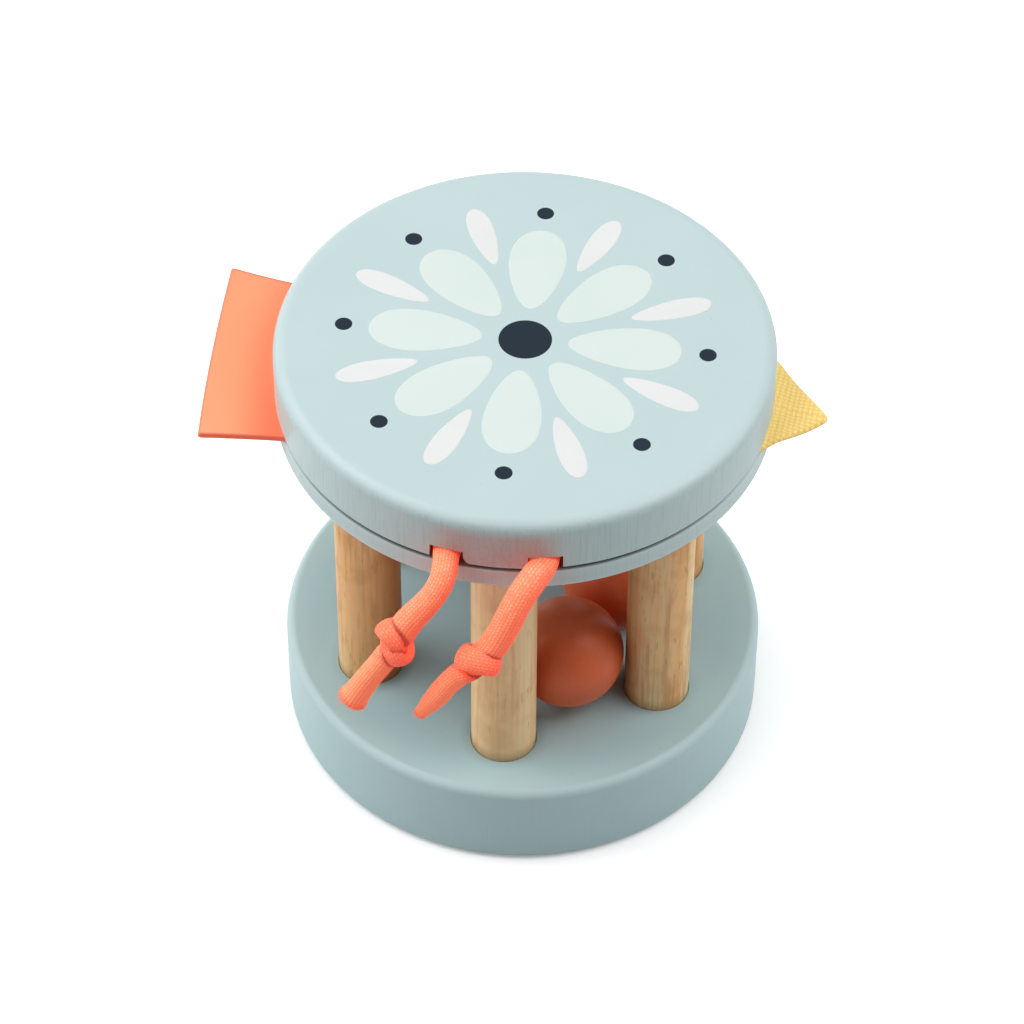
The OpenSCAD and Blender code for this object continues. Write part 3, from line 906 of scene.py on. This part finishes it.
def folded_ribbon():
    """Rows go along the folded line, columns across the width. The line is two straight layers, half a gap
    apart, joined by half an ellipse; the gap opens from the seam to the fold as a smooth S. The fold bows
    out in the middle as a parabola. Outside the wall the height gains a twist that grows with distance."""
    fold_length = bow_out = 0.45 * mm
    open_half, shut_half = 0.26 * mm, 0.2 * mm
    straight, columns = 60, 81
    turn_x = ribbon_outer_x + fold_length + ribbon_thickness / 2
    out = np.linspace(ribbon_inner_x, turn_x, straight)
    bow = np.linspace(math.pi / 2, -math.pi / 2, 17)[1:-1]
    x = np.concatenate([out, turn_x - fold_length * np.cos(bow), out[::-1]])
    reach = (x - ribbon_inner_x) / (ribbon_outer_x - ribbon_inner_x)
    side = np.concatenate([np.ones(straight), np.sin(bow), -np.ones(straight)])
    cross = np.linspace(-ribbon_width / 2, ribbon_width / 2, columns)
    x = x[:, None] - bow_out * reach[:, None] * (1 - (2 * cross[None, :] / ribbon_width) ** 2)
    y = np.broadcast_to(cross[None, :], x.shape)
    beyond = np.clip(np.hypot(x, y) - wall_radius - 0.2 * mm, 0, None)
    half = shut_half + (open_half - shut_half) * step_up(beyond, 0, 7 * mm)
    share = np.clip(beyond / (12.4 * mm), 0, 1)
    twist = np.interp(cross, np.array([-16, 0, 16]) * mm, np.array([-0.65, 0.8, 2.7]) * mm)[None, :]
    ripple = 0.2 * mm * np.sin(y / ribbon_width * 5.0 + 0.6) * share ** 2
    z = ribbon_middle_z + half * side[:, None] + twist * share ** 1.4 + ripple
    middle = columns // 2
    at = distance_along(np.stack([x[:, middle], np.zeros(len(x)), z[:, middle]], axis=-1))
    uv = np.stack(np.broadcast_arrays(at[:, None] / mm, cross[None, :] / mm), axis=-1)
    return grid_mesh("folded_ribbon", np.stack([x, y, z], axis=-1), uv), at[-1]


ribbon, ribbon_length = folded_ribbon()
declare_sheet(ribbon, "ribbon_tag", ribbon_thickness, (ribbon_width, float(ribbon_length)))

# %% Ribbon finish
ribbon_finish, tree, shader = new_finish("coral_ribbon")
ribbon_uv = put(tree, "UVMap", uv_map="cloth")
weave = effect(tree, cloth, ribbon_uv, Warp_Pitch=0.32, Weft_Pitch=0.2)
where = put(tree, "SeparateXYZ", own_place(tree)).outputs
# Near the seam, most at the front, the ribbon is painted darker as shade.
near_seam = between(tree, where["X"], -43.5 * mm, -34.5 * mm)
towards_front = between(tree, where["Y"], -10 * mm, 14 * mm, 1.0, 0.4)
cut = put(tree, "SeparateXYZ", ribbon_uv).outputs
from_fold = worked(tree, "ABSOLUTE", worked(tree, "SUBTRACT", cut["X"], ribbon_length / mm / 2))
from_edge = worked(tree, "SUBTRACT", ribbon_width / mm / 2, worked(tree, "ABSOLUTE", cut["Y"]))
fold_shade_and_dark_edges = worked(tree, "MAXIMUM", below(tree, from_fold, 0.1, 0.55), below(tree, from_edge, 0.1, 0.4))
satin = tinted(
    tree, mixed(tree, weave["Height"], colour(248, 148, 103), colour(254, 171, 123)),
    (weave["Fibres"], 0.25, (255, 186, 144)),
    (times(tree, near_seam, towards_front), 0.75, (250, 112, 70)),
    # The fold line is painted darker as shade, and the side edges are darker.
    (fold_shade_and_dark_edges, 0.6, (206, 96, 66)))
# Painted glow: a faint red emission.
fill(tree, shader, Base_Color=satin, Roughness=0.5, Sheen_Weight=0.2, Sheen_Tint=colour(255, 210, 180),
     Emission_Color=colour(255, 50, 32), Emission_Strength=0.25,
     Normal=bump(tree, 0.3, 0.05 * mm, weave["Height"]))
dress(ribbon_finish, ribbon)

# %% [markdown]
# The yellow tab is a cotton tape folded twice at 45 degrees into a point: its middle crosses on top, and
# its two ends run back side by side into the seam. The flat tape is mapped through those folds by a
# formula, so the weave turns with the cloth and the line between the two ends shows below, as on the real
# tape.

# %% Folded tape
tape_width = 10 * mm
tape_thickness = 0.55 * mm
tab_tip_x = 45.2 * mm
tab_inner_x = 29.5 * mm
tab_middle_z = 68.25 * mm
tab_turn = math.radians(-5.5)
tab_shift = 2.6 * mm


def folded_tape():
    """Columns go along the tape, rows across it. The tape lies along y with its outer edge at the tip; past
    the line x + |y| = tip it rolls over half a circle and comes back below, mirrored in that line. Then the
    point sinks a little outside the wall as a smooth S, its front side waves, and all is shifted along the
    rim and turned about Z."""
    roll_radius = 0.3 * mm
    rows, columns = 51, 161
    reach = tab_tip_x - tab_inner_x
    along = np.linspace(-reach, reach, columns)
    across = np.linspace(0, tape_width, rows)
    flat_x = np.broadcast_to(tab_tip_x - across[:, None], (rows, columns))
    flat_y = np.broadcast_to(along[None, :], (rows, columns))
    away = np.sqrt(flat_y ** 2 + (0.16 * mm) ** 2)
    past = (flat_x + away - tab_tip_x) / math.sqrt(2)
    quarter = roll_radius * math.pi / 2
    turn = np.clip(past / roll_radius, -math.pi / 2, math.pi / 2)
    flat_part = np.clip(np.abs(past) - quarter, 0, None)
    shift = (roll_radius * np.cos(turn) - flat_part - past) / math.sqrt(2)
    x = flat_x + shift
    y = flat_y + shift * flat_y / away
    front = step_up(-y, -1 * mm, 7 * mm)
    y = y + tab_shift
    beyond = np.clip(np.hypot(x, y) - wall_radius - 0.1 * mm, 0, None) / (8 * mm)
    wave = 0.5 * mm * front * np.sin(beyond * 5.5) * step_up(beyond, 0, 0.2)
    z = tab_middle_z - roll_radius * np.sin(turn) - 0.7 * mm * step_up(beyond, 0, 0.4) + wave
    turned_x = x * math.cos(tab_turn) - y * math.sin(tab_turn)
    turned_y = x * math.sin(tab_turn) + y * math.cos(tab_turn)
    uv = np.stack(np.broadcast_arrays(along[None, :] / mm, across[:, None] / mm), axis=-1)
    return grid_mesh("folded_tape", np.stack([turned_x, turned_y, z], axis=-1), uv), 2 * reach


tab, tape_length = folded_tape()
declare_sheet(tab, "folded_tab", tape_thickness, (tape_width, tape_length))

# %% Tape finish
tape_finish, tree, shader = new_finish("yellow_tape")
tape_uv = put(tree, "UVMap", uv_map="cloth")
weave = effect(tree, cloth, tape_uv, Warp_Pitch=0.7, Weft_Pitch=0.78)
cotton = tinted(
    tree, mixed(tree, weave["Height"], colour(244, 186, 80), colour(255, 234, 150)),
    (weave["Fibres"], 0.3, (255, 236, 170)))
# Painted glow: a faint yellow emission, as light through the thin cotton.
fill(tree, shader, Base_Color=cotton, Roughness=0.8, Sheen_Weight=0.25,
     Emission_Color=colour(255, 198, 84), Emission_Strength=0.2,
     Normal=bump(tree, 0.6, 0.15 * mm, weave["Height"]))
dress(tape_finish, tab)

# %% [markdown]
# The upper face carries a plain printed rosette. Screen ink lies on the paint as a thin film with a soft
# edge, so each shape is a low closed pillow a few hundredths of a millimetre high, sunk a little into the
# disc.

# %% Printed shapes
ink_height = 0.035 * mm


def ink_shapes(name, outlines):
    """Joins filled outlines into one piece. An outline is a ring of x and y points round a middle; rings
    shrink onto the middle, and the ink's height falls to the paint at the edge as steps near the rim."""
    spread = np.array([1.0, 1.0, 0.985, 0.95, 0.85, 0.65, 0.4, 0.2])
    lift = np.array([-1.5, 0.0, 0.6, 0.9, 1.0, 1.0, 1.0, 1.0]) * ink_height
    rings = np.array(outlines)[:, None]
    middle = rings.mean(axis=2, keepdims=True)
    places = middle + (rings - middle) * spread[:, None, None]
    heights = np.broadcast_to(cap_top + lift[:, None, None], (*places.shape[:3], 1))
    points = np.concatenate([places, heights], axis=-1)
    shapes, rows, columns = points.shape[:3]
    tips = points[:, [0, -1]].mean(axis=2)
    vertices = np.concatenate([points.reshape(shapes, -1, 3), tips], axis=1)
    first = np.arange(shapes)[:, None, None] * vertices.shape[1]
    faces = [(part + first).reshape(-1, part.shape[1]) for part in grid_faces(rows, columns, True, True)]
    joined = new_piece(name, vertices, faces)
    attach(joined, "cage")
    print(name, shapes, "shapes")
    return joined


def petal(start, end, half_width, angle):
    """A petal's outline: its half width follows a sine along its length, fuller at the outer end."""
    turn = np.linspace(0, 2 * math.pi, 72, endpoint=False)
    along = (1 - np.cos(turn)) / 2
    wide = half_width * np.sin(turn) * (0.55 + 0.45 * along)
    radius = start + (end - start) * along
    return np.stack([
        radius * math.cos(angle) - wide * math.sin(angle),
        radius * math.sin(angle) + wide * math.cos(angle),
    ], axis=-1)


def dot(radius, angle, size):
    """A round dot's outline at a distance and direction from the middle of the face."""
    turn = np.linspace(0, 2 * math.pi, 40, endpoint=False)
    middle = radius * np.array([math.cos(angle), math.sin(angle)])
    return middle + size * np.stack([np.cos(turn), np.sin(turn)], axis=-1)


eighths = np.arange(8) * math.pi / 4
petals = ink_shapes("print_petals", [petal(6.4 * mm, 23.4 * mm, 5.4 * mm, angle) for angle in eighths])
drops = ink_shapes(
    "print_drops", [petal(16.5 * mm, 29 * mm, 2.4 * mm, angle + math.pi / 8) for angle in eighths])
seeds = ink_shapes(
    "print_seeds", [dot(0, 0, 4 * mm)] + [dot(27.2 * mm, angle, 1.3 * mm) for angle in eighths])


# %% Ink finish
def ink(name, low, high):
    """Printed ink between two tones, over the same film as the paint."""
    material, tree, shader = new_finish(name)
    place = own_place(tree)
    paint = effect(tree, film, place, Blotch=80.0, Peel=2600.0, Pinhole_Level=0.8)
    fill(tree, shader, Base_Color=mixed(tree, paint["Tone"], colour(*low), colour(*high)),
         Roughness=between(tree, paint["Tone"], 0.3, 0.7, 0.42, 0.5), Specular_IOR_Level=0.15,
         Normal=bump(tree, 0.1, 0.1 * mm, paint["Peel"]))
    return material


dress(ink("mint_ink", (225, 240, 235), (234, 245, 241)), petals)
dress(ink("white_ink", (238, 240, 240), (246, 247, 247)), drops)
dress(ink("navy_ink", (26, 38, 50), (34, 48, 60)), seeds)

# %% [markdown]
# A white floor and a white surround, as in a light tent. Rays from the camera, and those that bounce off
# gloss, see plain white; the rest see a softer light, so the colours of the rattle come out as written. The
# floor keeps the shadow that the base throws on it, and far from the rattle it fades to the surround's
# white.

# %% Floor
def seen_rays(tree):
    """1 for the rays that show the surround itself: from the camera, off gloss and through glass."""
    rays = put(tree, "LightPath").outputs
    seen = worked(tree, "MAXIMUM", rays["Is Camera Ray"], rays["Is Glossy Ray"])
    return worked(tree, "MAXIMUM", seen, rays["Is Transmission Ray"])


floor_half, floor_drop = 3.0, 0.05 * mm
floor_edge = np.array([-floor_half, floor_half])
floor_grid = np.stack(np.broadcast_arrays(floor_edge[None, :], floor_edge[:, None], -floor_drop), axis=-1)
floor = grid_mesh("floor", floor_grid)
floor_white, tree, shader = new_finish("floor_white")
tree.nodes.remove(shader)
matt = put(tree, "BsdfDiffuse", Color=(0.55, 0.55, 0.55, 1))
matt_seen = put(tree, "BsdfDiffuse", Color=(0.85, 0.85, 0.85, 1))
openness = put(tree, "AmbientOcclusion", samples=8, Distance=12 * mm).outputs["AO"]
away = length(tree, own_place(tree))
lift = worked(tree, "MULTIPLY_ADD", openness, 0.58, 0.06)
lift = worked(tree, "ADD", lift, between(tree, away, 0.25, 0.9))
glow = put(tree, "Emission", Color=(1, 1, 1, 1), Strength=lift)
lifted = put(tree, "AddShader", matt_seen, glow)
choice = put(tree, "MixShader", seen_rays(tree), matt, lifted)
fill(tree, tree.nodes["Material Output"], Surface=choice)
dress(floor_white, floor)

# %% Surround and lamps
world = bpy.data.worlds.new("light_tent")
scene.world = world
world.use_nodes = True
tree = world.node_tree
strength = worked(tree, "MULTIPLY_ADD", seen_rays(tree), 0.98, 0.02)
fill(tree, tree.nodes["Background"], Color=(1, 1, 1, 1), Strength=strength)


def softbox(name, place, size, watts, mirrored):
    """A square lamp at a place, turned to the middle of the rattle. Unless mirrored, it leaves no glare."""
    light = bpy.data.lights.new(name, "AREA")
    light.size = size
    light.energy = watts
    back = unit(np.array(place) - aim)
    right = unit(np.cross((0, 1, 0), back))
    lamp = stand(name, light, (right, np.cross(back, right), back), place)
    lamp.visible_glossy = mirrored


softbox("high_left_softbox", (-0.6, 0.05, 0.95), 0.8, 7.2, True)
softbox("high_right_softbox", (0.6, 0.05, 0.95), 0.8, 6.0, True)
softbox("low_left_softbox", (-1.05, 0.1, 0.25), 0.6, 3.1, False)
softbox("low_right_softbox", (1.05, 0.1, 0.25), 0.6, 2.3, False)
softbox("front_left_softbox", (-0.75, -0.75, 0.5), 0.6, 1.55, True)
softbox("front_right_softbox", (0.75, -0.75, 0.5), 0.6, 0.2, True)
scene.view_settings.view_transform = "Standard"
